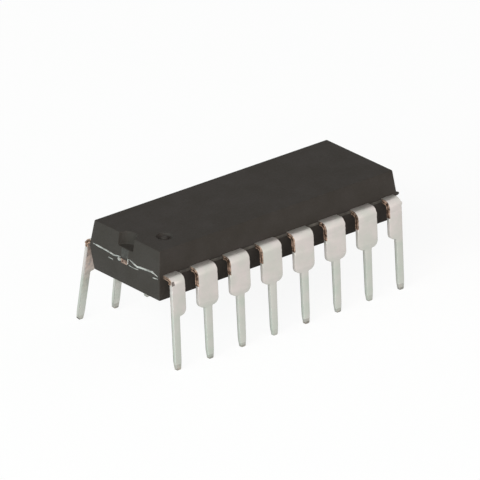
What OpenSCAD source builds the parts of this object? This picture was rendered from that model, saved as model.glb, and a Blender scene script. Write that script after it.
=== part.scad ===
// Dual in-line plastic chip with two rows of eight pins, in millimetres.
// X runs along the body, with the notched end at -X. Y runs across the rows, and pin 1 is at -X, -Y.
// Z is up. The origin is the centre of the pin field, in the plane of the lowest pin tips.
// Every piece that the chip is assembled from is here: the moulded body, the formed leads, and,
// sealed inside the resin, the die paddle with its tie bars, the adhesive, the die and the wires.

/* [Body] */
// length along X at the parting line
body_l = 18.9; // [18.7:0.1:19.6]
// width along Y at the parting line
body_w = 6.46; // [6.2:0.02:6.7]
// height of the resin above the lead frame
upper_h = 1.51; // [1.4:0.01:1.7]
// height of the resin below the lead frame
lower_h = 1.48; // [1.3:0.01:1.7]
// lean of the four upper faces, in degrees
upper_draft = 7.5; // [5:0.5:10]
// lean of the four lower faces, in degrees
lower_draft = 7; // [5:0.5:10]
// how far the resin between the leads stands out where the dam bars held it back
dam_resin = 0.1; // [0.04:0.01:0.16]
// how far the thin flash on the end faces' parting lines stands out
flash_out = 0.05; // [0.02:0.01:0.08]
// thickness of the flash
flash_t = 0.08; // [0.03:0.01:0.1]
// length of the larger scrap of flash on the far end's near corner
nib_l = 0.19; // [0.08:0.01:0.24]

/* [Marks in the body] */
// radius of the notch in the pin 1 end
notch_r = 0.7; // [0.5:0.05:0.9]
// distance of the notch's centre outside the top face's edge
notch_out = 0.1; // [0:0.02:0.3]
// depth of the notch from the top face
notch_depth = 0.8; // [0.4:0.05:0.9]
// radius between the notch's floor and wall
notch_fillet = 0.1; // [0.05:0.05:0.2]
// diameter of the dimple beside pin 1
dimple_d = 1.1; // [0.8:0.05:1.4]
// depth of the dimple
dimple_depth = 0.2; // [0.1:0.01:0.3]
// diameter of the dimple's raised middle
middle_d = 0.46; // [0.2:0.02:0.6]
// depth of the raised middle below the top face
middle_depth = 0.05; // [0.02:0.01:0.08]
// distance of the dimple's centre from the end at the parting line
dimple_end = 1.84; // [1.6:0.02:2.4]
// distance of the dimple's centre from the body's middle line
dimple_side = 1.52; // [1.2:0.02:1.8]
// diameter of the two ejector pin marks on the underside
ejector_d = 1.5; // [1:0.1:2]
// depth of the ejector pin marks
ejector_depth = 0.08; // [0.04:0.01:0.15]
// distance of each ejector pin mark from the middle of the body
ejector_x = 5.6; // [4:0.1:7]

/* [Leads] */
// distance from pin to pin along a row
pitch = 2.54; // [2.5:0.01:2.54]
// thickness of the lead frame's sheet
lead_t = 0.25; // [0.2:0.01:0.28]
// length of the narrow part of a pin, from the seating shoulder to the tip
leg_l = 3.31; // [2.9:0.01:3.6]
// height of the body's underside above the seating shoulders
standoff = 0.86; // [0.5:0.02:1]
// how far the leads run out flat from the body's sides before they bend
lead_out = 0.36; // [0.3:0.01:0.5]
// inner radius of the bends
bend_inner = 0.2; // [0.15:0.01:0.22]
// width of a lead from the body to the dam bar cut
neck_w = 1.49; // [1.3:0.01:1.54]
// width of the seating shoulder
shoulder_w = 1.55; // [1.44:0.01:1.7]
// radius of the shoulder's lower corners
shoulder_r = 0.38; // [0.2:0.01:0.42]
// radius between the shoulder's lower edge and the narrow part
leg_fillet = 0.09; // [0.04:0.01:0.14]
// length of the lead between the bend and the dam bar cut
dam_drop = 0.62; // [0.4:0.02:0.8]
// width of the narrow part
leg_w = 0.49; // [0.4:0.01:0.54]
// width of the narrow part at its end
tip_w = 0.3; // [0.24:0.01:0.36]
// length over which the tip narrows
tip_l = 0.42; // [0.3:0.02:0.6]
// outward lean of pins 1 to 8, in degrees
splay_near = 3.8; // [2:0.1:10]
// outward lean of pins 9 to 15, in degrees
splay_far = 7.4; // [2:0.1:10]
// outward lean of pin 16, which is bent a little further, in degrees
splay_16 = 10.3; // [4:0.1:12]
// how much shorter than the near row's pins 9 to 15 were trimmed
trim_far = 0.17; // [0:0.01:0.3]
// how much shorter than the near row's pin 16 was trimmed
trim_16 = 0.05; // [0:0.01:0.3]
// how far the dam bar's stub stands out of the outer edge of each corner lead
stub = 0.07; // [0.03:0.01:0.12]
// where the stub starts and ends round the bend, in degrees from the flat
stub_from = 58; // [50:1:64]
stub_to = 75; // [70:1:75]

/* [Lead frame inside the resin] */
// how far a lead keeps its full width inside the resin
root_l = 0.5; // [0.3:0.05:0.6]
// diameter of the locking hole in each lead's root
lock_d = 0.36; // [0.2:0.02:0.44]
// width of the inner fingers
finger_w = 0.34; // [0.26:0.02:0.38]
// length of the die paddle along X
paddle_l = 4.1; // [3.4:0.1:4.3]
// width of the die paddle along Y
paddle_w = 2.7; // [2.2:0.1:2.8]
// gap between the paddle and the ends of the fingers
finger_gap = 0.45; // [0.4:0.01:0.55]
// width of the tie bars that hold the paddle to the frame's ends
tie_w = 0.56; // [0.4:0.02:0.6]
// how far the tie bars' sheared ends stand out of the end faces
tie_out = 0.04; // [0:0.01:0.08]

/* [Die and wires] */
// length of the die along X
die_l = 2; // [1.6:0.1:2.4]
// width of the die along Y
die_w = 1.6; // [1.4:0.1:1.8]
// thickness of the die
die_h = 0.28; // [0.2:0.01:0.36]
// thickness of the adhesive under the die
attach_t = 0.03; // [0.02:0.01:0.05]
// how far the adhesive comes out round the die
attach_rim = 0.1; // [0.04:0.02:0.14]
// distance of the bond pads' centres from the die's edge
pad_in = 0.1; // [0.08:0.01:0.16]
// thickness of a bond wire, drawn with a square section
wire_t = 0.03; // [0.024:0.002:0.04]
// diameter of the ball at the die end of a wire
ball_d = 0.08; // [0.07:0.01:0.1]
// height of the wires' loops above the die
loop_h = 0.24; // [0.16:0.02:0.34]

/* [Hidden] */
$fn = 48;

row = 8;                                     // leads in each row
frame_z = leg_l + standoff + lower_h;        // underside of the lead frame
frame_top = frame_z + lead_t;                // its upper face, which is the parting line
base_z = frame_z - lower_h;                  // body's underside
top_z = frame_top + upper_h;                 // body's top face
upper_in = upper_h * tan(upper_draft);       // how far the top face's edges stand in
lower_in = lower_h * tan(lower_draft);       // how far the underside's edges stand in
bend_outer = bend_inner + lead_t;
bend_mid = bend_inner + lead_t / 2;
bend_y = body_w / 2 + lead_out;              // where the bend starts, and its centre
bend_z = frame_top - bend_outer;             // height of the bend's centre
root_in = body_w / 2 - root_l;
die_z = frame_top + attach_t;
die_top = die_z + die_h;

// developed length below the start of the bend, before the far row's trim
near_drop = (bend_z + bend_inner * sin(splay_near)) / cos(splay_near);
lead_dev = near_drop + bend_mid * (90 - splay_near) * PI / 180;
// lengths from the bend's end to the dam bar cut and to the shoulder's lower edge
shoulder_drop = near_drop - leg_l / cos(splay_near);

// where the fingers end: beside the tie bar, above that, and along the paddle's long sides
corner_y = tie_w / 2 + finger_gap * 0.95;
second_y = corner_y + finger_w * 1.6;
side_y = paddle_w / 2 + finger_gap;
end_x = paddle_l / 2 + finger_gap;
function mix(a, b, t) = a + (b - a) * t;
// middle lines of the inner fingers, from the corner lead to the one nearest the middle, in +X, +Y
finger_path = [
  [[3.17 * pitch, mix(corner_y, root_in, 0.76)], [2.56 * pitch, mix(corner_y, root_in, 0.3)],
   [end_x, corner_y]],
  [[2.38 * pitch, mix(second_y, root_in, 0.78)], [1.81 * pitch, mix(second_y, root_in, 0.32)],
   [end_x, second_y]],
  [[1.4 * pitch, mix(side_y, root_in, 0.7)], [0.77 * pitch, side_y]],
  [[0.47 * pitch, mix(side_y, root_in, 0.7)], [0.26 * pitch, side_y]]];
// bond pads on the die in the same order, as shares of the pads' field
pad_place = [[1, 0.2], [1, 0.62], [0.86, 1], [0.4, 1]];

tin = [0.8, 0.79, 0.76];
resin = [0.25, 0.235, 0.224];
copper = [0.72, 0.45, 0.3];
silicon = [0.36, 0.37, 0.42];
silver_glue = [0.62, 0.62, 0.6];
gold = [0.85, 0.66, 0.3];

// unit vector across a path at point i, pointing to its left, lengthened at a corner
function dir(a, b) = (b - a) / norm(b - a);
function left(v) = [-v[1], v[0]];
function across(p, i) =
  let (n = len(p) - 1,
       d0 = i == 0 ? dir(p[0], p[1]) : dir(p[i - 1], p[i]),
       d1 = i == n ? d0 : dir(p[i], p[i + 1]),
       m = left(d0) + left(d1))
  m / norm(m) / (m / norm(m) * left(d1));
// outline of a strip of width w along a path
function strip(p, w) = concat(
  [for (i = [0:len(p) - 1]) p[i] + across(p, i) * w / 2],
  [for (i = [len(p) - 1:-1:0]) p[i] - across(p, i) * w / 2]);

// lead n's place in the row, its side of the body, and its outward lean
function lead_x(n) = (n <= row ? n - (row + 1) / 2 : (3 * row + 1) / 2 - n) * pitch;
function side(n) = n <= row ? -1 : 1;
function splay(n) = n <= row ? splay_near : n == 2 * row ? splay_16 : splay_far;
function trim(n) = n <= row ? 0 : n == 2 * row ? trim_16 : trim_far;
// 0 for a corner lead, 3 for one beside the middle
function rank(x) = round(row / 2 - 0.5 - abs(x) / pitch);
// half width of lead at x towards sx: a corner lead has no shoulder on its outer side
function half(x, sx, w) = rank(x) == 0 && sx * x > 0 ? leg_w / 2 : w / 2;

// a block whose four sides lean in by inset over its height h, which is negative downwards
module drafted(l, w, z0, h, inset) {
  intersection() {
    rotate([90, 0, 0]) linear_extrude(height = 2 * w, center = true)
      polygon([[-l / 2, z0], [l / 2, z0], [l / 2 - inset, z0 + h], [-l / 2 + inset, z0 + h]]);
    rotate([90, 0, 90]) linear_extrude(height = 2 * l, center = true)
      polygon([[-w / 2, z0], [w / 2, z0], [w / 2 - inset, z0 + h], [-w / 2 + inset, z0 + h]]);
  }
}

// the flat part of a lead in the +Y row: from the bend inwards, then the finger to the die
module lead_flat(x) {
  s = x < 0 ? -1 : 1;
  lo = x - half(x, -1, neck_w);
  hi = x + half(x, 1, neck_w);
  path = concat([[(lo + hi) / 2, root_in]], [for (q = finger_path[rank(x)]) [s * q[0], q[1]]]);
  f = strip(path, finger_w);
  n = len(path);
  a = [for (i = [1:n - 1]) f[i]];
  b = [for (i = [n:2 * n - 2]) f[i]];
  translate([0, 0, frame_z]) difference() {
    linear_extrude(height = lead_t)
      polygon(concat([[hi, bend_y], [hi, root_in]], a, b, [[lo, root_in], [lo, bend_y]]));
    translate([(lo + hi) / 2, root_in + lock_d * 0.6, -lead_t])
      cylinder(d = lock_d, h = 3 * lead_t);
  }
}

// the plate below the bend, drawn flat in X and downwards: neck, shoulder, leg and tapered tip
module lead_plate(x, drop) {
  nl = half(x, -1, neck_w);
  nr = half(x, 1, neck_w);
  sl = half(x, -1, shoulder_w);
  sr = half(x, 1, shoulder_w);
  h = shoulder_drop - dam_drop;
  translate([-nl, -dam_drop]) square([nl + nr, dam_drop]);
  for (q = [[-1, sl], [1, sr]]) {
    wide = q[1] - leg_w / 2 > shoulder_r;
    if (wide) {
      translate([q[0] < 0 ? -sl : 0, -shoulder_drop + shoulder_r])
        square([q[1], h - shoulder_r]);
      translate([q[0] < 0 ? -sl + shoulder_r : 0, -shoulder_drop])
        square([q[1] - shoulder_r, shoulder_r]);
      translate([q[0] * (q[1] - shoulder_r), -shoulder_drop + shoulder_r])
        circle(r = shoulder_r);
      f = min(leg_fillet, q[1] - shoulder_r - leg_w / 2);
      translate([q[0] * (leg_w / 2 + f), -shoulder_drop - f]) difference() {
        translate([q[0] < 0 ? 0 : -1.5 * f, 0]) square(1.5 * f);
        circle(r = f);
      }
    } else {
      translate([q[0] < 0 ? -sl : 0, -shoulder_drop]) square([q[1], h]);
    }
  }
  polygon([[-leg_w / 2, -dam_drop], [leg_w / 2, -dam_drop], [leg_w / 2, -drop + tip_l],
    [tip_w / 2, -drop + tip_w * 0.2], [tip_w * 0.3, -drop], [-tip_w * 0.3, -drop],
    [-tip_w / 2, -drop + tip_w * 0.2], [-leg_w / 2, -drop + tip_l]]);
}

// side view of a lead from the body's side, round the bend and part of the way down
module bend_profile(lean) {
  translate([bend_y, bend_z]) difference() {
    union() {
      circle(r = bend_outer);
      translate([-lead_out, 0]) square([lead_out, bend_outer]);
      rotate(lean) translate([0, -dam_drop / 2]) square([bend_outer, dam_drop / 2]);
    }
    circle(r = bend_inner);
    translate([-2 * bend_outer, -dam_drop]) square([2 * bend_outer, dam_drop + bend_inner]);
    rotate(lean) translate([-2 * bend_outer, -dam_drop]) square([2 * bend_outer + bend_inner, dam_drop]);
  }
}

// side view of the dam bar's stub, part of the same bend
module stub_profile() {
  translate([bend_y, bend_z]) intersection() {
    difference() {
      circle(r = bend_outer);
      circle(r = bend_inner);
    }
    polygon(concat([[0, 0]], [for (a = [stub_from, stub_to]) 2 * bend_outer * [sin(a), cos(a)]]));
  }
}

// a formed lead in the +Y row
module lead(x, lean, trim) {
  turn = 90 - lean;
  drop = lead_dev - trim - bend_mid * turn * PI / 180;
  s = x < 0 ? -1 : 1;
  lo = x - half(x, -1, neck_w);
  w = half(x, -1, neck_w) + half(x, 1, neck_w);
  lead_flat(x);
  translate([lo, 0, 0]) rotate([90, 0, 90]) linear_extrude(height = w) bend_profile(lean);
  translate([x, bend_y, bend_z]) rotate([lean, 0, 0]) translate([0, bend_outer, 0])
    rotate([90, 0, 0]) linear_extrude(height = lead_t) lead_plate(x, drop);
  if (rank(x) == 0)
    translate([x + s * leg_w / 2 - stub, 0, 0])
      rotate([90, 0, 90]) linear_extrude(height = 2 * stub) stub_profile();
}

module lead_no(n) {
  if (side(n) > 0) lead(lead_x(n), splay(n), trim(n));
  else rotate([0, 0, 180]) lead(-lead_x(n), splay(n), trim(n));
}

module paddle_solid() {
  translate([0, 0, frame_z]) linear_extrude(height = lead_t) {
    square([paddle_l, paddle_w], center = true);
    square([body_l + 2 * tie_out, tie_w], center = true);
  }
}

module attach_solid() {
  translate([-die_l / 2 - attach_rim, -die_w / 2 - attach_rim, frame_top])
    cube([die_l + 2 * attach_rim, die_w + 2 * attach_rim, attach_t]);
}

module die_solid() {
  translate([-die_l / 2, -die_w / 2, die_z]) cube([die_l, die_w, die_h]);
}

// the wire from lead n's finger to its pad: ball, loop and flat stitch, in one upright plane
module wire_solid(n) {
  x = lead_x(n);
  k = rank(x);
  s = x < 0 ? -1 : 1;
  pts = finger_path[k];
  last = pts[len(pts) - 1];
  before = pts[len(pts) - 2];
  stitch = last + dir(last, before) * finger_w * 0.47;
  b = [s * stitch[0], side(n) * stitch[1]];
  a = [s * pad_place[k][0] * (die_l / 2 - pad_in), side(n) * pad_place[k][1] * (die_w / 2 - pad_in)];
  l = norm(b - a);
  run = frame_top + wire_t / 2;
  crown = die_top + loop_h;
  translate([a[0], a[1], 0]) rotate([0, 0, atan2(b[1] - a[1], b[0] - a[0])]) {
    rotate([90, 0, 0]) linear_extrude(height = wire_t, center = true)
      polygon(strip([[0, die_top + wire_t / 2], [0, crown - 3 * wire_t],
        [1.3 * wire_t, crown - wire_t], [4 * wire_t, crown], [0.3 * l, crown],
        [0.5 * l, crown - 0.18 * loop_h], [l - 0.9 * finger_w, mix(run, crown, 0.3)],
        [l - 0.3 * finger_w, run], [l + 0.18 * finger_w, run]], wire_t));
    translate([0, 0, die_top]) cylinder(d = ball_d, h = wire_t);
  }
}

module body_block() {
  drafted(body_l, body_w, frame_top, upper_h, upper_in);
  drafted(body_l, body_w, frame_z, -lower_h, lower_in);
  translate([-body_l / 2, -body_w / 2, frame_z]) cube([body_l, body_w, lead_t]);
  translate([-(row - 1) / 2 * pitch, -body_w / 2 - dam_resin, frame_z])
    cube([(row - 1) * pitch, body_w + 2 * dam_resin, lead_t]);
}

// thin flash along the end faces' parting lines, clear of the tie bars, and the scrap at one corner
module flash() {
  w = body_w * 0.46 - tie_w;
  for (x = [-1, 1]) for (y = [-1, 1])
    translate([x * body_l / 2 - flash_out, y * (tie_w + w / 2) - w / 2, frame_top - flash_t / 2])
      cube([2 * flash_out, w, flash_t]);
  translate([body_l / 2, -body_w / 2, frame_top - flash_t * 1.5])
    linear_extrude(height = flash_t * 2)
      polygon(nib_l * [[-1, 0.1], [0.7, -0.2], [1, 0.15], [0.5, 1.05], [-0.5, 1.6]]);
}

// what the notch takes away: a round pocket with a fillet at its floor
module notch() {
  rotate_extrude() {
    square([notch_r - notch_fillet, 2 * notch_depth]);
    translate([0, notch_fillet]) square([notch_r, 2 * notch_depth]);
    translate([notch_r - notch_fillet, notch_fillet]) circle(r = notch_fillet);
  }
}

// what the dimple takes away: a round pocket whose middle is left raised
module dimple() {
  difference() {
    cylinder(d = dimple_d, h = 2 * dimple_depth);
    cylinder(d = middle_d, h = dimple_depth - middle_depth);
  }
}

module body_marks() {
  translate([-body_l / 2 + upper_in - notch_out, 0, top_z - notch_depth]) notch();
  translate([-body_l / 2 + dimple_end, -dimple_side, top_z - dimple_depth]) dimple();
  for (q = [-1, 1]) translate([q * ejector_x, 0, base_z - ejector_depth])
    cylinder(d = ejector_d, h = 2 * ejector_depth);
}

module body() {
  color(resin) difference() {
    union() {
      body_block();
      flash();
    }
    body_marks();
    for (n = [1:2 * row]) {
      if (side(n) > 0) lead_flat(lead_x(n));
      else rotate([0, 0, 180]) lead_flat(-lead_x(n));
      wire_solid(n);
    }
    paddle_solid();
    attach_solid();
    die_solid();
  }
}

module lead_1() { color(tin) lead_no(1); }
module lead_2() { color(tin) lead_no(2); }
module lead_3() { color(tin) lead_no(3); }
module lead_4() { color(tin) lead_no(4); }
module lead_5() { color(tin) lead_no(5); }
module lead_6() { color(tin) lead_no(6); }
module lead_7() { color(tin) lead_no(7); }
module lead_8() { color(tin) lead_no(8); }
module lead_9() { color(tin) lead_no(9); }
module lead_10() { color(tin) lead_no(10); }
module lead_11() { color(tin) lead_no(11); }
module lead_12() { color(tin) lead_no(12); }
module lead_13() { color(tin) lead_no(13); }
module lead_14() { color(tin) lead_no(14); }
module lead_15() { color(tin) lead_no(15); }
module lead_16() { color(tin) lead_no(16); }
module die_paddle() { color(copper) paddle_solid(); }
module die_attach() { color(silver_glue) attach_solid(); }
module die() { color(silicon) die_solid(); }
module bond_wire_1() { color(gold) wire_solid(1); }
module bond_wire_2() { color(gold) wire_solid(2); }
module bond_wire_3() { color(gold) wire_solid(3); }
module bond_wire_4() { color(gold) wire_solid(4); }
module bond_wire_5() { color(gold) wire_solid(5); }
module bond_wire_6() { color(gold) wire_solid(6); }
module bond_wire_7() { color(gold) wire_solid(7); }
module bond_wire_8() { color(gold) wire_solid(8); }
module bond_wire_9() { color(gold) wire_solid(9); }
module bond_wire_10() { color(gold) wire_solid(10); }
module bond_wire_11() { color(gold) wire_solid(11); }
module bond_wire_12() { color(gold) wire_solid(12); }
module bond_wire_13() { color(gold) wire_solid(13); }
module bond_wire_14() { color(gold) wire_solid(14); }
module bond_wire_15() { color(gold) wire_solid(15); }
module bond_wire_16() { color(gold) wire_solid(16); }

body();
lead_1();
lead_2();
lead_3();
lead_4();
lead_5();
lead_6();
lead_7();
lead_8();
lead_9();
lead_10();
lead_11();
lead_12();
lead_13();
lead_14();
lead_15();
lead_16();
die_paddle();
die_attach();
die();
bond_wire_1();
bond_wire_2();
bond_wire_3();
bond_wire_4();
bond_wire_5();
bond_wire_6();
bond_wire_7();
bond_wire_8();
bond_wire_9();
bond_wire_10();
bond_wire_11();
bond_wire_12();
bond_wire_13();
bond_wire_14();
bond_wire_15();
bond_wire_16();
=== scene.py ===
# Looks for the dual in-line chip: moulded body, formed leads and their finishes, on a white studio floor.
import math
import random

import bmesh
import bpy
from mathutils import Matrix, Vector, noise


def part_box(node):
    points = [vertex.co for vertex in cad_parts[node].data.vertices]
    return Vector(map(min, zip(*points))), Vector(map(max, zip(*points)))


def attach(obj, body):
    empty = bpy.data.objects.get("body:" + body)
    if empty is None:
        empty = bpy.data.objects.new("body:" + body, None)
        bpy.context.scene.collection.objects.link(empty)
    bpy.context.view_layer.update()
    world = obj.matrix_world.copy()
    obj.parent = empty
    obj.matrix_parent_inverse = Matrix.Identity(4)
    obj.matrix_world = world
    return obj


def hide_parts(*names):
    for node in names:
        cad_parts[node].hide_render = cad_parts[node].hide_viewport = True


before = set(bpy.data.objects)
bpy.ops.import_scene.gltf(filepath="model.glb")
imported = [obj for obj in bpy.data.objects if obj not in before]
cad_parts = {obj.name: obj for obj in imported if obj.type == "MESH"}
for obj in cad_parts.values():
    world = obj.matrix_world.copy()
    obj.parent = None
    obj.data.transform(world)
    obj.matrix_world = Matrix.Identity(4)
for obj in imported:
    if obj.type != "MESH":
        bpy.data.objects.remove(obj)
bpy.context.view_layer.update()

MM = 0.001

# Sizes in millimetres. The frame gives the outside ones.
body_low, body_high = (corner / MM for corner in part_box("body"))
DAM_RESIN = 0.1          # how far the resin between the leads stands out
HALF_LENGTH = 9.45       # body's half length at the parting line, without the flash
HALF_WIDTH = body_high.y - DAM_RESIN
UNDERSIDE = body_low.z
TOP = body_high.z
LEAD_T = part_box("die_paddle")[1].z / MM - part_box("die_paddle")[0].z / MM
FRAME_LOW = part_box("die_paddle")[0].z / MM
PARTING = FRAME_LOW + LEAD_T
DRAFT_ABOVE, DRAFT_BELOW = 7.5, 7   # degrees that the sides slope in, above and below the lead frame
UPPER_IN = (TOP - PARTING) * math.tan(math.radians(DRAFT_ABOVE))
LOWER_IN = (FRAME_LOW - UNDERSIDE) * math.tan(math.radians(DRAFT_BELOW))
EDGE_R = 0.06            # radius of the body's top and bottom edges
CORNER_R = 0.06          # radius of its upright corners

PITCH = 2.54
ROW = 8                  # leads in a row
BEND_INNER = 0.2         # radius on the inside of the leads' bend
BEND_MID = BEND_INNER + LEAD_T / 2
BEND_OUTER = BEND_INNER + LEAD_T
LEAD_OUT = 0.36          # how far a lead runs out level before it bends
BEND_Y = HALF_WIDTH + LEAD_OUT
BEND_Z = PARTING - BEND_OUTER
NECK = 1.49 / 2          # half widths of a lead: neck, shoulder, leg and tip
SHOULDER = 1.55 / 2
LEG = 0.49 / 2
TIP = 0.3 / 2
PUNCH_OFF = 0.022        # how far towards +X the punch stood that cut the dam bars, as in the photograph
SHOULDER_R = 0.41        # radius of the shoulders' lower corners
LEG_LENGTH = 3.395       # from the tips to the shoulders, as in the photograph
LEG_TOP, LEG_FOOT = 0.016, -0.012   # how much wider than LEG it is under the shoulder, and above the tip
DAM_DROP = 0.62          # from the end of the bend to the end of the dam bar cut
TIP_LENGTH = 0.6         # length over which the leg narrows to its tip
SPLAY_NEAR, SPLAY_FAR, SPLAY_16 = 3.8, 7.4, 10.3   # degrees that the leads lean outwards
TRIM_FAR, TRIM_16 = 0.17, 0.05   # how much shorter the far row's pins are trimmed
BURIED = 0.45            # length of lead drawn inside the resin
STUB = 0.07              # how far a corner lead's stub of dam bar stands out
ROLL, BURR = 0.022, 0.02   # rounding of the sheet's outer rim, and of the burr on its inner one
CUT_FLARE = 0.07         # how far a dam bar cut slants out towards the sheet's inner face
PINCH = 0.35             # share by which the near row's tips are thinner on their inner side
DENT_DEPTH = 0.04        # of the dent in pin 1's bend
SHADE_REACH = 4.0              # how far down the inner face the painted shade from the bend reaches


def linear(hex_colour):
    """An sRGB hex colour as the linear colour that the shaders take."""
    parts = [int(hex_colour[i:i + 2], 16) / 255 for i in (1, 3, 5)]
    return [p / 12.92 if p <= 0.04045 else ((p + 0.055) / 1.055) ** 2.4 for p in parts] + [1]


def add(tree, kind, settings=None, links=None):
    """Adds a node, sets its properties and sockets, and links its inputs to other nodes' outputs."""
    node = tree.nodes.new("ShaderNode" + kind)
    for name, value in (settings or {}).items():
        if isinstance(name, str) and hasattr(node, name):
            setattr(node, name, value)
        else:
            node.inputs[name].default_value = value
    for name, source in (links or {}).items():
        tree.links.new(source, node.inputs[name])
    return node


def per_metre(size_mm):
    """Noise scale that gives features of this size, for coordinates in metres."""
    return 1 / (size_mm * MM)


def new_material(name):
    material = bpy.data.materials.new(name)
    material.use_nodes = True
    tree = material.node_tree
    return material, tree, tree.nodes["Principled BSDF"]


def make_piece(name, mesh, material, replaces=(), keep_flat=True):
    """Puts a finished mesh in the scene as a piece of the chip."""
    piece = bpy.data.objects.new(name, mesh)
    bpy.context.scene.collection.objects.link(piece)
    piece.data.materials.append(material)
    if keep_flat:
        weighted = piece.modifiers.new("flat_faces", "WEIGHTED_NORMAL")
        weighted.keep_sharp = True
    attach(piece, "root")
    if replaces:
        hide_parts(*replaces)


def finish_mesh(name, bm, sharp_angle=50):
    """Welds, turns faces outwards, marks hard edges and gives the mesh in metres."""
    bmesh.ops.remove_doubles(bm, verts=bm.verts, dist=1e-5)
    bmesh.ops.recalc_face_normals(bm, faces=bm.faces)
    for face in bm.faces:
        face.smooth = True
    for edge in bm.edges:
        if len(edge.link_faces) == 2 and edge.calc_face_angle(0) > math.radians(sharp_angle):
            edge.smooth = False
    bm.transform(Matrix.Scale(MM, 4))
    mesh = bpy.data.meshes.new(name)
    bm.to_mesh(mesh)
    bm.free()
    return mesh


# Materials

def noise_pattern(tree, place, size_mm, detail, roughness=0.5):
    """Values of a noise with features of this size."""
    settings = {"Scale": per_metre(size_mm), "Detail": detail, "Roughness": roughness}
    return add(tree, "TexNoise", settings, {"Vector": place}).outputs["Fac"]


def spread(tree, value, low, high, at_low, at_high):
    """Turns values from low to high into values from at_low to at_high."""
    settings = {"From Min": low, "From Max": high, "To Min": at_low, "To Max": at_high}
    return add(tree, "MapRange", settings, {"Value": value}).outputs["Result"]


def two_tones(tree, pattern, dark, light, low=0.35, high=0.65):
    """A colour that goes from dark to light as the pattern goes from low to high."""
    ramp = add(tree, "ValToRGB", {}, {"Fac": pattern})
    first, last = ramp.color_ramp.elements
    first.position = low
    first.color = linear(dark)
    last.position = high
    last.color = linear(light)
    return ramp.outputs["Color"]


def blend(tree, share, first, second, kind="MIX"):
    """Blends the colour second, a hex colour or a node's output, into first by share."""
    node = add(tree, "Mix", {"data_type": "RGBA", "blend_type": kind}, {"Factor": share})
    tree.links.new(first, node.inputs[6])
    if isinstance(second, str):
        node.inputs[7].default_value = linear(second)
    else:
        tree.links.new(second, node.inputs[7])
    return node.outputs[2]


def bumps(tree, shader, *layers):
    """Adds (pattern, strength, height in millimetres) layers of bump to the shader, the finest first."""
    normal = {}
    for pattern, strength, height in layers:
        settings = {"Strength": strength, "Distance": height * MM}
        bump = add(tree, "Bump", settings, {"Height": pattern, **normal})
        normal = {"Normal": bump.outputs["Normal"]}
    tree.links.new(normal["Normal"], shader.inputs["Normal"])


def moulded_epoxy():
    """Silica-filled epoxy, transfer moulded in a spark-eroded cavity: dark warm grey, matte,
    with a fine even grain and faint specks of filler."""
    material, tree, shader = new_material("moulded_epoxy")
    place = add(tree, "TexCoord").outputs["Object"]
    cloud = noise_pattern(tree, place, 1.6, 3.0)
    grain = noise_pattern(tree, place, 0.11, 4.0, 0.6)
    shade = two_tones(tree, cloud, "#37332f", "#3c3835", 0.35, 0.68)
    filler = add(tree, "TexVoronoi", {"Scale": per_metre(0.16), "Randomness": 1.0}, {"Vector": place})
    speck = spread(tree, filler.outputs["Distance"], 0.05, 0.22, 0.16, 0.0)
    tree.links.new(blend(tree, speck, shade, "#5c5955"), shader.inputs["Base Color"])
    tree.links.new(spread(tree, grain, 0.3, 0.7, 0.72, 0.84), shader.inputs["Roughness"])
    shader.inputs["IOR"].default_value = 1.55
    shader.inputs["Specular IOR Level"].default_value = 0.12
    bumps(tree, shader, (grain, 0.5, 0.02), (cloud, 0.4, 0.02))
    return material


def broken_epoxy(name, dark, light, patch_mm):
    """The same epoxy where it was broken or cut off: the torn filler scatters more light,
    so it looks lighter and rougher."""
    material, tree, shader = new_material(name)
    place = add(tree, "TexCoord").outputs["Object"]
    torn = noise_pattern(tree, place, patch_mm, 5.0, 0.65)
    tree.links.new(two_tones(tree, torn, dark, light), shader.inputs["Base Color"])
    shader.inputs["Roughness"].default_value = 0.8
    shader.inputs["IOR"].default_value = 1.55
    shader.inputs["Specular IOR Level"].default_value = 0.25
    bumps(tree, shader, (torn, 0.8, 0.05))
    return material


def thin_flash():
    """Epoxy squeezed to a film at the parting line and scuffed by deflashing: thin enough to look whitish."""
    material, tree, shader = new_material("thin_epoxy_flash")
    place = add(tree, "TexCoord").outputs["Object"]
    patch = noise_pattern(tree, place, 0.5, 3.0)
    tree.links.new(two_tones(tree, patch, "#7b7975", "#b4b2ae", 0.38, 0.62), shader.inputs["Base Color"])
    shader.inputs["Roughness"].default_value = 0.6
    shader.inputs["IOR"].default_value = 1.55
    bumps(tree, shader, (patch, 0.6, 0.02))
    return material


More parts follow.
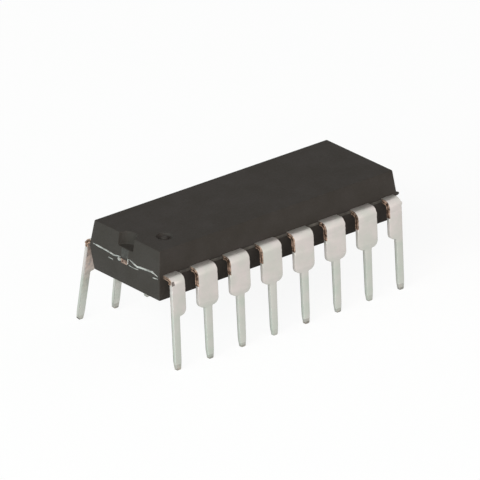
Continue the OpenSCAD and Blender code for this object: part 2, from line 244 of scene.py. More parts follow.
def tin_plate():
    """Matte tin plated on copper alloy sheet: pale warm grey, satin, slightly cloudy. Where the dam bars
    were cut off after plating, the sheared copper shows in pinkish brown bands. Copper tone also shows
    towards the tips and in pin 1's dent, and as painted shade on edges, roots and the inner face below the
    bend."""
    material, tree, shader = new_material("matte_tin_plate")
    place = add(tree, "TexCoord").outputs["Object"]
    axes = add(tree, "SeparateXYZ", {}, {"Vector": place})
    bare = add(tree, "Attribute", {"attribute_name": "bare"}).outputs["Fac"]
    band = add(tree, "Attribute", {"attribute_name": "band"}).outputs["Fac"]
    cloud = noise_pattern(tree, place, 0.9, 3.0)
    grain = noise_pattern(tree, place, 0.09, 4.0, 0.6)
    shear = noise_pattern(tree, place, 0.22, 4.0)
    # painted shade: the legs are tinted a little darker and greener than the shoulders, for how the legs take
    # the light
    tin = two_tones(tree, cloud, "#c3c2bb", "#ccc5c1")
    leg_shade = spread(tree, axes.outputs["Z"], 3.0 * MM, 3.9 * MM, 1.0, 0.0)
    tin = blend(tree, leg_shade, tin, "#f3fbf8", "MULTIPLY")
    # the copper is lighter on the cuts nearest the notched end
    lighter_near_notch = spread(tree, axes.outputs["X"], -9 * MM, -6 * MM, 0.04, -0.08)
    streak = add(tree, "Math", {"operation": "MULTIPLY_ADD", 1: 0.16}, {0: band, 2: lighter_near_notch})
    tone = add(tree, "Math", {"operation": "ADD"}, {0: shear, 1: streak.outputs[0]})
    copper = two_tones(tree, tone.outputs[0], "#3f3027", "#b79c8a", 0.36, 0.62)
    metal = blend(tree, bare, tin, copper)
    # resin bleed and painted shade: the root of the lead darkens towards the body, most of all on the cut
    # faces, for resin bled onto it and for the dark body's shade and reflection there
    out = add(tree, "Math", {"operation": "ABSOLUTE"}, {0: axes.outputs["Y"]})
    near_body = spread(tree, out.outputs[0], HALF_WIDTH * MM, (HALF_WIDTH + 0.32) * MM, 0.75, 0.0)
    hold = spread(tree, bare, 0.0, 1.0, 0.4, 1.0)
    bleed_and_shade = add(tree, "Math", {"operation": "MULTIPLY"}, {0: near_body, 1: hold})
    tree.links.new(blend(tree, bleed_and_shade.outputs[0], metal, "#4a423c"), shader.inputs["Base Color"])
    shader.inputs["Metallic"].default_value = 1.0
    satin = spread(tree, grain, 0.3, 0.7, 0.48, 0.58)
    rough = add(tree, "Math", {"operation": "MULTIPLY_ADD", 1: 0.25}, {0: bare, 2: satin})
    tree.links.new(rough.outputs[0], shader.inputs["Roughness"])
    bumps(tree, shader, (grain, 0.35, 0.006), (cloud, 0.5, 0.02))
    return material


def sheared_copper():
    """Copper alloy sheet, sheared: pale pinkish metal with darker torn streaks."""
    material, tree, shader = new_material("sheared_copper")
    place = add(tree, "TexCoord").outputs["Object"]
    torn = noise_pattern(tree, place, 0.2, 4.0)
    tree.links.new(two_tones(tree, torn, "#4c3c34", "#c4b2a8", 0.36, 0.62), shader.inputs["Base Color"])
    shader.inputs["Metallic"].default_value = 1.0
    shader.inputs["Roughness"].default_value = 0.45
    bumps(tree, shader, (torn, 0.6, 0.03))
    return material


def hidden_material(name, dark, light, grain_mm, metallic, roughness):
    """A finish for a piece sealed in the resin: a fine two-tone grain of its own size."""
    material, tree, shader = new_material(name)
    place = add(tree, "TexCoord").outputs["Object"]
    grain = noise_pattern(tree, place, grain_mm, 3.0)
    tree.links.new(two_tones(tree, grain, dark, light), shader.inputs["Base Color"])
    shader.inputs["Metallic"].default_value = metallic
    shader.inputs["Roughness"].default_value = roughness
    bumps(tree, shader, (grain, 0.3, 0.005))
    return material


EPOXY = moulded_epoxy()
BROKEN = broken_epoxy("broken_epoxy_at_the_gate", "#353330", "#464440", 0.2)
# painted highlight: the light tone of the resin between the leads stands partly for light on its ledge,
# partly for the lighter look of cut epoxy
CUT_RESIN_AND_HIGHLIGHT = broken_epoxy("cut_epoxy_between_leads_and_painted_highlight", "#34312e", "#5c5852", 0.9)
FLASH = thin_flash()
TIN = tin_plate()
COPPER = sheared_copper()


# Moulded body

def rounded_rectangle(half_x, half_y, radius, steps=6):
    """Points of a rectangle with round corners, anticlockwise from the +X, -Y corner."""
    points = []
    for sx, sy, start in ((1, -1, -90), (1, 1, 0), (-1, 1, 90), (-1, -1, 180)):
        for i in range(steps + 1):
            a = math.radians(start + 90 * i / steps)
            points.append((sx * (half_x - radius) + radius * math.cos(a),
                           sy * (half_y - radius) + radius * math.sin(a)))
    return points


def ring_of(bm, inset, z):
    radius = CORNER_R - inset * 0.05
    return [bm.verts.new((x, y, z))
            for x, y in rounded_rectangle(HALF_LENGTH - inset, HALF_WIDTH - inset, radius)]


def edge_rounding(inset, z, draft_deg, up):
    """(inset, z) steps round a body edge, from the drafted side face to the flat face."""
    lean = math.radians(draft_deg)
    turn = math.pi / 2 - lean
    centre_in = inset + EDGE_R * math.tan(turn / 2)
    steps = []
    for i in range(5):
        a = lean + turn * i / 4
        rise = EDGE_R * (math.sin(a) - 1)
        steps.append((centre_in - EDGE_R * math.cos(a), z + (rise if up else -rise)))
    return steps


def tube(bm, rings):
    """Faces along a row of rings, and over its two ends."""
    for a, b in zip(rings, rings[1:]):
        for i in range(len(a)):
            j = (i + 1) % len(a)
            bm.faces.new((a[i], a[j], b[j], b[i]))
    bm.faces.new(list(reversed(rings[0])))
    bm.faces.new(rings[-1])


def moulded_body():
    bm = bmesh.new()
    levels = list(reversed(edge_rounding(LOWER_IN, UNDERSIDE, DRAFT_BELOW, False)))
    levels += [(LOWER_IN * 0.5, (UNDERSIDE + FRAME_LOW) / 2), (0, FRAME_LOW), (0, PARTING),
               (UPPER_IN * 0.5, (PARTING + TOP) / 2)]
    levels += edge_rounding(UPPER_IN, TOP, DRAFT_ABOVE, True)
    tube(bm, [ring_of(bm, inset, z) for inset, z in levels])
    return bm


def lathe_cutter(bm, centre, profile, steps=64):
    """Closed turned solid: profile is (radius, z) from the axis at one end to the axis at the other."""
    rings = []
    for radius, z in profile:
        if radius == 0:
            rings.append([bm.verts.new((centre[0], centre[1], z))])
        else:
            rings.append([bm.verts.new((centre[0] + radius * math.cos(math.tau * i / steps),
                                        centre[1] + radius * math.sin(math.tau * i / steps), z))
                          for i in range(steps)])
    for a, b in zip(rings, rings[1:]):
        for i in range(steps):
            j = (i + 1) % steps
            corners = [a[i % len(a)], a[j % len(a)], b[j % len(b)], b[i % len(b)]]
            unique = [v for k, v in enumerate(corners) if v not in corners[:k]]
            bm.faces.new(unique)


RIM = 0.07               # bevel round the notch and the dimple
NOTCH_CENTRE = (-HALF_LENGTH + UPPER_IN - 0.1, 0.0)
NOTCH_R = 0.7
NOTCH_FLOOR = TOP - 0.81
DIMPLE_CENTRE = (-HALF_LENGTH + 1.86, -1.52)
DIMPLE_R = 1.08 / 2
MIDDLE_R = 0.18          # radius of the dimple's raised middle
DIMPLE_DEPTH = 0.2


def mark_cutters():
    bm = bmesh.new()
    fillet = 0.1
    arc = [(NOTCH_R - fillet + fillet * math.sin(a), NOTCH_FLOOR + fillet - fillet * math.cos(a))
           for a in (math.radians(d) for d in (0, 22, 45, 68, 90))]
    above = TOP + 0.3
    lathe_cutter(bm, NOTCH_CENTRE, [(0, NOTCH_FLOOR)] + arc + [(NOTCH_R + 0.02, above), (0, above)], 72)
    floor = TOP - DIMPLE_DEPTH
    middle = TOP - 0.02
    raised = [(0, middle), (MIDDLE_R - 0.05, middle - 0.005), (MIDDLE_R, middle - 0.04),
              (MIDDLE_R + 0.05, floor + 0.02), (MIDDLE_R + 0.09, floor)]
    wall = [(DIMPLE_R - 0.16, floor), (DIMPLE_R - 0.1, floor + 0.03), (DIMPLE_R - 0.03, floor + 0.12),
            (DIMPLE_R, TOP + 0.1), (0, TOP + 0.1)]
    lathe_cutter(bm, DIMPLE_CENTRE, raised + wall)
    # ejector pin marks in the underside
    for x in (-5.6, 5.6):
        high = UNDERSIDE + 0.08
        lathe_cutter(bm, (x, 0), [(0, UNDERSIDE - 0.2), (0.75, UNDERSIDE - 0.2), (0.745, high - 0.03),
                                  (0.72, high), (0, high)])
    return bm


def cut_body():
    body_bm = moulded_body()
    bmesh.ops.recalc_face_normals(body_bm, faces=body_bm.faces)
    cutter_bm = mark_cutters()
    bmesh.ops.recalc_face_normals(cutter_bm, faces=cutter_bm.faces)
    pair = []
    for label, bm in (("body_blank", body_bm), ("mark_cutters", cutter_bm)):
        mesh = bpy.data.meshes.new(label)
        bm.to_mesh(mesh)
        bm.free()
        o = bpy.data.objects.new(label, mesh)
        bpy.context.scene.collection.objects.link(o)
        pair.append(o)
    blank, cutter = pair
    cut = blank.modifiers.new("cut", "BOOLEAN")
    cut.operation, cut.solver, cut.object = "DIFFERENCE", "EXACT", cutter
    bpy.context.view_layer.update()
    done = blank.evaluated_get(bpy.context.evaluated_depsgraph_get()).to_mesh()
    bm = bmesh.new()
    bm.from_mesh(done)
    for o in pair:
        bpy.data.objects.remove(o)
    bmesh.ops.remove_doubles(bm, verts=bm.verts, dist=1e-4)

    def on_rim(edge):
        if len(edge.link_faces) != 2 or edge.calc_face_angle(0) < math.radians(38):
            return False
        for v in edge.verts:
            d = math.hypot(v.co.x - NOTCH_CENTRE[0], v.co.y - NOTCH_CENTRE[1])
            if v.co.z > NOTCH_FLOOR - 0.05 and d < NOTCH_R + 0.06:
                continue
            d = math.hypot(v.co.x - DIMPLE_CENTRE[0], v.co.y - DIMPLE_CENTRE[1])
            if v.co.z > TOP - 0.05 and d < DIMPLE_R + 0.05:
                continue
            return False
        return True

    rim = [e for e in bm.edges if on_rim(e)]
    bmesh.ops.bevel(bm, geom=rim, offset=RIM, offset_type="OFFSET", segments=3, profile=0.5,
                    affect="EDGES", clamp_overlap=True)
    return finish_mesh("moulded_body", bm)


make_piece("moulded_body", cut_body(), EPOXY, ("body",))


# Formed leads

def lead_place(n):
    """X of lead n, its side of the body and its outward lean in degrees."""
    x = (n - (ROW + 1) / 2 if n <= ROW else (3 * ROW + 1) / 2 - n) * PITCH
    lean = SPLAY_NEAR if n <= ROW else SPLAY_16 if n == 2 * ROW else SPLAY_FAR
    return x, (-1 if n <= ROW else 1), lean


NEAR = math.radians(SPLAY_NEAR)
NEAR_DROP = (BEND_Z + BEND_INNER * math.sin(NEAR)) / math.cos(NEAR)
DEVELOPED = NEAR_DROP + BEND_MID * (math.pi / 2 - NEAR)
SHOULDER_DROP = NEAR_DROP - LEG_LENGTH / math.cos(NEAR)


def flat_edge(direction, cut_at, shoulder_at, tip_at, corner, dice):
    """One long edge of the flat pattern, on the +X (1) or the -X (-1) side, as (across, along) points
    from the resin to the tip. across is positive."""
    neck, shoulder = (LEG, LEG) if corner else (NECK + direction * PUNCH_OFF, SHOULDER)
    points = [(neck, -LEAD_OUT - BURIED), (neck, -LEAD_OUT)]
    # the dam bar cut leaves a slightly ragged edge
    steps = 14
    for i in range(1, steps):
        s = -LEAD_OUT + (cut_at + LEAD_OUT) * i / steps
        points.append((neck + dice.uniform(-0.012, 0.012), s))
    if corner:
        # the stub that the dam bar leaves
        top, end = BEND_MID * 1.08, BEND_MID * 1.4
        points = [p for p in points if not top - 0.05 < p[1] < end + 0.05]
        at = next(k for k, p in enumerate(points) if p[1] > end)
        points[at:at] = [(neck, top - 0.02), (neck + STUB * 0.8, top), (neck + STUB, (top + end) / 2 - 0.02),
                         (neck + STUB * 0.7, end), (neck, end + 0.03)]
        points.append((neck, cut_at))
    else:
        points += [(neck - 0.01, cut_at - 0.03), (neck + 0.005, cut_at), (shoulder, cut_at + 0.015)]
        round_x, round_s = shoulder - SHOULDER_R, shoulder_at - SHOULDER_R
        for i in range(9):
            a = math.radians(90 * i / 8)
            points.append((round_x + SHOULDER_R * math.cos(a), round_s + SHOULDER_R * math.sin(a)))
        fillet = 0.09
        fillet_x, fillet_s = LEG + LEG_TOP + fillet, shoulder_at + fillet
        for i in range(5):
            a = math.radians(90 * i / 4)
            points.append((fillet_x - fillet * math.sin(a), fillet_s - fillet * math.cos(a)))
    foot = LEG + LEG_FOOT
    for t in (0, 0.2, 0.4, 0.6, 0.8, 0.92):
        width = foot + (TIP + 0.015 - foot) * t ** 1.4
        points.append((width, tip_at - TIP_LENGTH * (1 - t)))
    points += [(TIP + 0.005, tip_at - 0.03), (TIP * 0.93, tip_at - 0.01), (TIP * 0.75, tip_at)]
    return points


def edge_normals(points):
    """Inward normals with mitre, for a closed anticlockwise outline."""
    result = []
    count = len(points)
    for i in range(count):
        a, b, c = (Vector(points[(i + k) % count]) for k in (-1, 0, 1))
        d0, d1 = (b - a).normalized(), (c - b).normalized()
        n0, n1 = Vector((-d0.y, d0.x)), Vector((-d1.y, d1.x))
        m = (n0 + n1)
        if m.length < 1e-6:
            m = n0
        m.normalize()
        result.append(m / max(m.dot(n1), 0.5))
    return result


# Faces that aren't plain tin, as (bare, band). bare is how far the metal under the plating shows.
# band makes that metal lighter above 0 and darker below it.
TIP_END = (0.6, -1.0)
# painted shade: dark lines on the shoulders' and legs' edges, where they reflect shade, made with dark copper
# tone
PAINTED_DARK_EDGE = (0.35, -1.0)
DARK_TIP = (0.95, -2.5)
# bared copper in pin 1's dent, made dark as painted shade for the dent's hollow
DENT = (0.7, -2.0)
TIP_BAND = -0.5
# painted shade: how strongly copper tone darkens the inner face below the bend
PAINTED_SHADE_BARE = 0.7
CUT_BARE = (0.35, 0.7, 1.0)                    # from the sheet's outer rim to the cut
CUT_BANDS = (0, 0, 0, 0.4, -0.6, 0.7, 0, 0)    # from the outer face to the inner one


def bend_sheet(bm, x0, side, bend_length, tip_at):
    """Bends the flat pattern over its radius, and puts it at x0 on its side of the body."""
    for v in bm.verts:
        across, s, t = v.co.x, -v.co.y, v.co.z
        if t < 0 and side < 0:
            t *= 1 - PINCH * max(0.0, min(1.0, (s - tip_at + TIP_LENGTH) / TIP_LENGTH))
        radius = BEND_MID + t
        if s <= 0:
            y, z = BEND_Y + s, BEND_Z + radius
        else:
            a = min(s, bend_length) / BEND_MID
            down = max(s - bend_length, 0)
            y = BEND_Y + radius * math.sin(a) + down * math.cos(a)
            z = BEND_Z + radius * math.cos(a) - down * math.sin(a)
        v.co = Vector((x0 + across, side * y, z))


def formed_lead(n):
    """Cuts lead n from sheet, marks its cut faces, its darker tip and its faces of painted shade, and bends
    it.
    """
    x0, side, lean_deg = lead_place(n)
    dice = random.Random(100 + n)
    bend_length = BEND_MID * math.radians(90 - lean_deg)
    tip_at = DEVELOPED
    if side > 0:
        tip_at -= TRIM_16 if n == 2 * ROW else TRIM_FAR
    cut_at = bend_length + DAM_DROP
    shoulder_at = bend_length + SHOULDER_DROP
    corner = n in (1, ROW, ROW + 1, 2 * ROW)
    right = flat_edge(1, cut_at, shoulder_at, tip_at, corner and x0 > 0, dice)
    left = flat_edge(-1, cut_at, shoulder_at, tip_at, corner and x0 < 0, dice)
    # seen with across to the right and along downwards, this runs clockwise, so along is negated
    outline = [(a, -s) for a, s in right] + [(-a, -s) for a, s in reversed(left)]
    outline.reverse()
    normals = edge_normals(outline)
    half_t = LEAD_T / 2
    tip_bare_share = dice.uniform(0.15, 0.6)
    # the sheet's edge from its outer face to its inner one, as (distance in, height) points
    section = [(ROLL * (1 - math.sin(a)), half_t - ROLL * (1 - math.cos(a)))
               for a in (0, math.pi / 6, math.pi / 3)]
    section += [(0.0, half_t - ROLL), (0.004, 0.02), (0.004, -0.05), (0.0, -half_t + BURR),
                (BURR * 0.3, -half_t + BURR * 0.3), (BURR, -half_t)]
    bm = bmesh.new()
    bare = bm.faces.layers.float.new("bare")
    band = bm.faces.layers.float.new("band")

    def on_outer_side(x):
        """True on the side of a corner lead that is turned to the body's end."""
        return corner and (x < 0) == (x0 < 0)

    rings = []
    for inset, t in section:
        ring = []
        for p, m in zip(outline, normals):
            flare = 0.0
            if -0.2 < -p[1] < cut_at - 0.02 and not on_outer_side(p[0]):
                flare = CUT_FLARE * max(0.0, 0.5 - t / LEAD_T) ** 0.7
            ring.append(bm.verts.new((p[0] + m.x * (inset - flare), p[1] + m.y * inset, t)))
        rings.append(ring)
    count = len(outline)
    for k, (a, b) in enumerate(zip(rings, rings[1:])):
        for i in range(count):
            j = (i + 1) % count
            face = bm.faces.new((a[i], b[i], b[j], a[j]))
            middle = -(outline[i][1] + outline[j][1]) / 2
            cut_end = cut_at + 0.02
            if on_outer_side(outline[i][0]):
                cut_end = bend_length * (1.5 if n == 2 * ROW else 0.9)
            face[band] = CUT_BANDS[k]
            if -LEAD_OUT + 0.02 < middle < cut_end:
                face[bare] = CUT_BARE[min(k, 2)]
            elif k >= 2 and middle > tip_at - 0.03:
                face[bare], face[band] = TIP_END
            # painted shade: below the cut, the lower side and the +X outer rim are darkened
            elif middle > cut_end and (k in (5, 6) or k < 3 and outline[i][0] > 0):
                face[bare], face[band] = PAINTED_DARK_EDGE
    bm.faces.new(rings[0])
    bm.faces.new(list(reversed(rings[-1])))
    # lines across the sheet: for the bend, the press line of the forming tool, the darker tip and the painted
    # shade below the bend
    press = cut_at - 0.33
    tip_full = tip_at - dice.uniform(0.08, 0.16)
    tip_start = tip_at - dice.uniform(0.24, 0.4)
    folds = [-LEAD_OUT] + [bend_length * i / 12 for i in range(13)]
    folds += [press - 0.035, press, press + 0.035, tip_full, tip_start]
    folds += [bend_length + SHADE_REACH * i / 9 for i in range(1, 10)]
    cuts = [((0, -s, 0), (0, 1, 0)) for s in folds]
    dent_x, dent_s = -LEG + 0.09, bend_length - 0.08
    if n == 1:
        steps = (-0.11, -0.03, 0.05, 0.12)
        cuts += [((0, -dent_s - ds, 0), (0, 1, 0)) for ds in steps]
        cuts += [((dent_x + dx, 0, 0), (1, 0, 0)) for dx in steps]
    for spot, normal in cuts:
        geometry = bm.verts[:] + bm.edges[:] + bm.faces[:]
        bmesh.ops.bisect_plane(bm, geom=geometry, plane_co=spot, plane_no=normal, dist=1e-6)

    def in_dent(x, s, reach):
        return n == 1 and abs(x - dent_x - 0.01) < reach and abs(s - dent_s - 0.01) < reach

    for face in bm.faces:
        centre = face.calc_center_median()
        s = -centre.y
        # the last part of each leg is partly bare and darker towards its tip
        if s > tip_start:
            face[bare] = max(face[bare], tip_bare_share * (1.0 if s > tip_full else 0.5))
            face[band] = TIP_BAND
        # one corner of lead 16's tip is dark
        if n == 2 * ROW and s > tip_at - 0.16 and centre.x < -0.06:
            face[bare], face[band] = DARK_TIP
        # painted shade: the inner face is darkened with copper tone in the bend and below it, fading out, for
        # the shade and the dark body's reflection there
        if centre.z < -half_t + 0.003 and s > 0:
            past_bend = max(0.0, s - bend_length) / SHADE_REACH
            face[bare] = max(face[bare], PAINTED_SHADE_BARE * (1 - past_bend))
        # pin 1's dent: bared copper, darkened as painted shade in its hollow
        if centre.z > half_t - 0.02 and in_dent(centre.x, s, 0.1):
            face[bare], face[band] = DENT
    # the press line gets deeper along the near row, away from the notched end
    press_depth = 0.012 * max(0.0, min(1.0, (x0 / PITCH + 1) / 4)) if side < 0 else 0.006
    for v in bm.verts:
        on_face = v.co.z > half_t - 0.001
        if on_face and in_dent(v.co.x, -v.co.y, 0.06):
            v.co.z -= DENT_DEPTH
        if on_face and abs(-v.co.y - press) < 1e-4:
            v.co.z -= press_depth
    bend_sheet(bm, x0, side, bend_length, tip_at)
    name = f"formed_lead_{n}"
    make_piece(name, finish_mesh(name, bm, 60), TIN, (f"lead_{n}",))


for number in range(1, 2 * ROW + 1):
    formed_lead(number)


# Resin between the leads, flash and scars

def resin_bar(bm, x_from, x_to, side, dice):
    """A short bar of resin between two leads, with an uneven outer face and a groove where it meets
    the body."""
    steps = 10
    soft = 0.02
    low, high = FRAME_LOW + 0.03, PARTING - 0.03
    rings = []
    for i in range(steps + 1):
        x = x_from + (x_to - x_from) * i / steps
        out = [HALF_WIDTH + DAM_RESIN * dice.uniform(0.8, 0.98) for _ in range(3)]
        section = [(HALF_WIDTH - 0.1, low), (out[0] - soft, low), (out[0], low + soft),
                   (out[1], (low + high) / 2), (out[2], high - soft), (out[2] - soft, high),
                   (HALF_WIDTH + 0.02, high - 0.05), (HALF_WIDTH - 0.1, high - 0.05)]
        rings.append([bm.verts.new((x, side * y, z)) for y, z in section])
    tube(bm, rings)


def dam_resin(side, label):
    bm = bmesh.new()
    dice = random.Random(31 if side < 0 else 32)
    for i in range(ROW - 1):
        x = (i - (ROW - 1) / 2) * PITCH
        resin_bar(bm, x + NECK + PUNCH_OFF - 0.02, x + PITCH - NECK + PUNCH_OFF + 0.02, side, dice)
    make_piece(label, finish_mesh(label, bm, 40), CUT_RESIN_AND_HIGHLIGHT, ())


dam_resin(-1, "dam_resin_near")
dam_resin(1, "dam_resin_far")


def along(path, y):
    """Height at y on a path of (y, height) points."""
    for (y0, h0), (y1, h1) in zip(path, path[1:]):
        if min(y0, y1) <= y <= max(y0, y1):
            return h0 + (h1 - h0) * (y - y0) / (y1 - y0)
    return path[-1][1]


def flash_ribbon(bm, x_face, path, out, thick, dice):
    """An irregular ridge of flash on an end face. path holds (y, height above the parting line) points."""
    sign = math.copysign(1, x_face)
    y0, y1 = path[0][0], path[-1][0]
    steps = max(4, round(abs(y1 - y0) / 0.08))
    rings = []
    for i in range(steps + 1):
        y = y0 + (y1 - y0) * i / steps
        end = min(1.0, 5 * min(i, steps - i) / steps + 0.2)
        o = out * end * dice.uniform(0.75, 1.15)
        t = thick * end * dice.uniform(0.8, 1.2)
        z = PARTING + along(path, y) + dice.uniform(-0.006, 0.006)
        inside = max(0.0, z - PARTING) * math.tan(math.radians(DRAFT_ABOVE))
        section = [(-0.05, -t / 2), (o * 0.75, -t / 2), (o, -t * 0.1), (o * 0.85, t * 0.35), (-0.05, t / 2)]
        rings.append([bm.verts.new((x_face + sign * (a - inside), y, z + b)) for a, b in section])
    tube(bm, rings)


def end_flash():
    """Flash where the mould's halves met, and where it met the lead frame's underside."""
    bm = bmesh.new()
    dice = random.Random(7)
    low = -LEAD_T
    notched_end = [
        ([(2.95, 0.08), (2.0, 0.06), (1.25, 0.02), (0.95, -0.02), (0.6, 0.05), (0.34, 0.07)], 0.041, 0.1),
        ([(-0.4, 0.16), (-0.7, 0.1), (-1.2, -0.04), (-1.65, 0.03), (-2.0, 0.05), (-2.6, 0.09), (-2.95, 0.0),
          (-3.1, -0.05)], 0.041, 0.12),
        ([(1.5, low - 0.08), (1.05, low - 0.1)], 0.006, 0.04),
        ([(0.62, low / 2 + 0.03), (0.3, low / 2 + 0.03)], 0.041, 0.24),
        ([(-0.29, 0.0), (-0.38, 0.0)], 0.04, 0.36),
        ([(-0.38, low + 0.04), (-0.75, low), (-1.3, low + 0.03)], 0.012, 0.045),
        ([(-2.6, low - 0.02), (-3.12, low + 0.05)], 0.02, 0.05)]
    for path, out, thick in notched_end:
        flash_ribbon(bm, -HALF_LENGTH, path, out, thick, dice)
    for path in ([(3.1, 0.02), (1.6, 0.05), (0.5, 0.0)], [(-0.45, 0.04), (-1.9, -0.02), (-2.9, 0.03)]):
        flash_ribbon(bm, HALF_LENGTH, path, 0.035, 0.07, dice)
    make_piece("end_flash", finish_mesh("end_flash", bm, 60), FLASH, ())


end_flash()


def corner_scrap():
    """A larger scrap of flash that was left at the far end's near corner."""
    bm = bmesh.new()
    size = 0.19
    outline = [(-1, 0.1), (0.1, -0.16), (0.7, -0.2), (0.96, -0.05),
               (1, 0.15), (0.8, 0.62), (0.5, 1.05), (-0.5, 1.6)]
    levels = [(-0.14, 0.5), (-0.08, 0.88), (-0.045, 1.0), (-0.01, 0.93), (0.05, 0.6)]
    tube(bm, [[bm.verts.new((HALF_LENGTH + size * share * x, -HALF_WIDTH + size * share * y, PARTING + dz))
               for x, y in outline] for dz, share in levels])
    make_piece("corner_scrap", finish_mesh("corner_scrap", bm, 50), EPOXY, ())


corner_scrap()


def gate_scar():
    """Where the resin's feed was broken off, between the tie bar and the notch: a rough patch,
    barely proud."""
    bm = bmesh.new()
    columns, rows = 12, 9
    y0, y1, z0, z1 = 0.36, -0.34, PARTING + 0.06, NOTCH_FLOOR - 0.01
    grid = []
    for i in range(columns + 1):
        line = []
        for j in range(rows + 1):
            y, z = y0 + (y1 - y0) * i / columns, z0 + (z1 - z0) * j / rows
            border = i in (0, columns) or j in (0, rows)
            out = -0.02 if border else 0.016 + 0.014 * noise.noise(Vector((y * 7, z * 7, 4)))
            face_x = -HALF_LENGTH + (z - PARTING) * math.tan(math.radians(DRAFT_ABOVE))
            line.append(bm.verts.new((face_x - out, y, z)))
        grid.append(line)
    close_grid(bm, grid)
    make_piece("gate_scar", finish_mesh("gate_scar", bm, 60), BROKEN, (), keep_flat=False)


def close_grid(bm, grid):
    """Faces over a grid of vertices, and one face behind it round its border."""
    for a, b in zip(grid, grid[1:]):
        for i in range(len(a) - 1):
            bm.faces.new((a[i], b[i], b[i + 1], a[i + 1]))
    border = grid[0] + [line[-1] for line in grid[1:]]
    border += grid[-1][-2::-1] + [line[0] for line in grid[-2:0:-1]]
    bm.faces.new(border)


gate_scar()


def tie_bar_end(x_face, label):
    """Sheared end of a tie bar, ragged and standing a little out of the end face."""
    sign = math.copysign(1, x_face)
    dice = random.Random(int(50 + sign))
    bm = bmesh.new()
    columns, rows = 12, 6
    half = 0.33
    grid = []
    for i in range(columns + 1):
        y = -half + 2 * half * i / columns
        line = []
        for j in range(rows + 1):
            z = FRAME_LOW + LEAD_T * j / rows
            border = i in (0, columns) or j in (0, rows)
            out = -0.05 if border else 0.03 + 0.02 * noise.noise(Vector((y * 6, z * 9, sign * 3)))
            dy, dz = dice.uniform(-0.01, 0.01), dice.uniform(-0.01, 0.01)
            line.append(bm.verts.new((x_face + sign * out, y + dy, z + dz)))
        grid.append(line)
    close_grid(bm, grid)
    make_piece(label, finish_mesh(label, bm, 60), COPPER, (), keep_flat=False)


tie_bar_end(-HALF_LENGTH, "tie_bar_end_notch")
tie_bar_end(HALF_LENGTH, "tie_bar_end_far")

# Pieces sealed in the resin keep their frame meshes
HIDDEN = {
    "die_paddle": ("rolled_copper_sheet", "#5a473e", "#bba496", 0.16, 1.0, 0.6),
    "die_attach": ("silver_filled_adhesive", "#8c8c88", "#b0b0aa", 0.05, 0.6, 0.5),
    "die": ("polished_silicon", "#4a4d57", "#5c606b", 0.2, 0.7, 0.15),
}
for node_name, recipe in HIDDEN.items():
    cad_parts[node_name].data.materials.clear()
    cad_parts[node_name].data.materials.append(hidden_material(*recipe))
gold = hidden_material("drawn_gold_wire", "#c9962f", "#e3b95c", 0.05, 1.0, 0.25)
for number in range(1, 2 * ROW + 1):
    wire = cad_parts[f"bond_wire_{number}"]
    wire.data.materials.clear()
    wire.data.materials.append(gold)


# Camera at the photograph's place: which way its right, up and back point, and where it stands
right = (0.75875, -0.65138, 0.00294)
up = (0.26737, 0.31556, 0.91046)
back = (-0.59398, -0.69002, 0.41359)
spot = (-307.554 * MM, -356.89 * MM, 218.43 * MM)
camera = bpy.data.objects.new("camera", bpy.data.cameras.new("camera"))
bpy.context.scene.collection.objects.link(camera)
camera.matrix_world = Matrix([[right[i], up[i], back[i], spot[i]] for i in range(3)] + [[0, 0, 0, 1]])
camera.data.sensor_width = 36
camera.data.lens = 641.816
camera.data.clip_start, camera.data.clip_end = 0.01, 20
bpy.context.scene.camera = camera


# Studio: white floor and surround, large soft lamps

def softbox(name, azimuth, elevation, distance, size, share, colour):
    """A soft lamp aimed at the chip, size wide and high. share is the part of full white that it gives
    a face turned to it."""
    lamp = bpy.data.lights.new(name, "AREA")
    lamp.shape, lamp.size, lamp.size_y = "RECTANGLE", size[0], size[1]
    lamp.energy = share * math.pi ** 2 * distance ** 2
    lamp.color = linear(colour)[:3]
    o = bpy.data.objects.new(name, lamp)
    a, e = math.radians(azimuth), math.radians(elevation)
    aim = Vector((math.sin(a) * math.cos(e), -math.cos(a) * math.cos(e), math.sin(e)))
    o.location = aim * distance + Vector((0, 0, 0.005))
    o.rotation_mode = "QUATERNION"
    o.rotation_quaternion = aim.to_track_quat("Z", "Y")
    bpy.context.scene.collection.objects.link(o)


softbox("key_softbox", -60, 25, 0.6, (0.48, 0.36), 0.92, "#fffaf6")
softbox("left_softbox", -92, 14, 0.6, (0.48, 0.26), 0.5, "#c2eff5")
softbox("front_softbox", -5, 14, 0.6, (0.6, 0.26), 0.2, "#fff8f2")
softbox("right_softbox", 80, 30, 0.6, (0.5, 0.4), 0.06, "#ffffff")


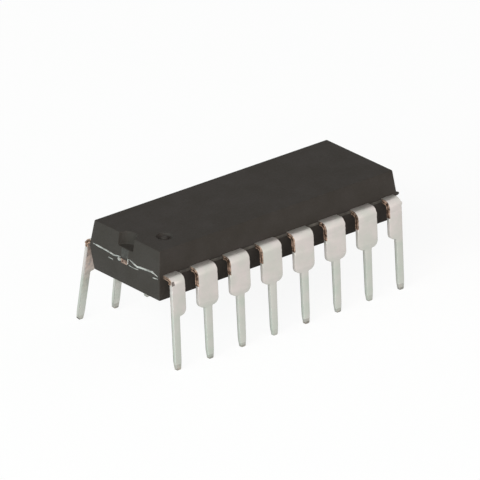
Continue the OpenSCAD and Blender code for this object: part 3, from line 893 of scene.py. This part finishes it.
def directly_seen(tree):
    """1 for what the camera and reflections see, and 0 for light on its way to a surface."""
    path = add(tree, "LightPath")
    seen = add(tree, "Math", {"operation": "MAXIMUM"},
               {0: path.outputs["Is Camera Ray"], 1: path.outputs["Is Glossy Ray"]})
    also = add(tree, "Math", {"operation": "MAXIMUM"},
               {0: seen.outputs[0], 1: path.outputs["Is Transmission Ray"]})
    return also.outputs[0]


def white_floor():
    """Plain white acrylic sheet: the camera and reflections see it white, less its own soft shadow."""
    material, tree, shader = new_material("white_acrylic_sheet")
    place = add(tree, "TexCoord").outputs["Object"]
    mottle = noise_pattern(tree, place, 40, 2.0)
    tree.links.new(spread(tree, mottle, 0.0, 1.0, 0.55, 0.6), shader.inputs["Roughness"])
    shader.inputs["Base Color"].default_value = linear("#f7f7f5")
    shader.inputs["Specular IOR Level"].default_value = 0.0
    share = add(tree, "Math", {"operation": "MULTIPLY", 1: 0.85}, {0: directly_seen(tree)})
    white = add(tree, "Emission", {"Strength": 1.05})
    mix = add(tree, "MixShader")
    tree.links.new(share.outputs[0], mix.inputs[0])
    tree.links.new(shader.outputs[0], mix.inputs[1])
    tree.links.new(white.outputs[0], mix.inputs[2])
    out = tree.nodes["Material Output"]
    tree.links.new(mix.outputs[0], out.inputs["Surface"])
    mesh = bpy.data.meshes.new("studio_floor")
    bm = bmesh.new()
    span = 3.0
    corners = ((-span, -span), (span, -span), (span, span), (-span, span))
    bm.faces.new([bm.verts.new((x, y, 0)) for x, y in corners])
    bm.to_mesh(mesh)
    bm.free()
    floor = bpy.data.objects.new("studio_floor", mesh)
    bpy.context.scene.collection.objects.link(floor)
    floor.data.materials.append(material)


white_floor()


def white_surround():
    """White to the camera and in reflections, and a faint even fill light on the chip."""
    world = bpy.data.worlds.new("studio_surround")
    bpy.context.scene.world = world
    world.use_nodes = True
    tree = world.node_tree
    background = tree.nodes["Background"]
    background.inputs["Color"].default_value = (1, 1, 1, 1)
    strength = spread(tree, directly_seen(tree), 0.0, 1.0, 0.22, 1.0)
    tree.links.new(strength, background.inputs["Strength"])


white_surround()

bpy.context.scene.view_settings.view_transform = "Standard"
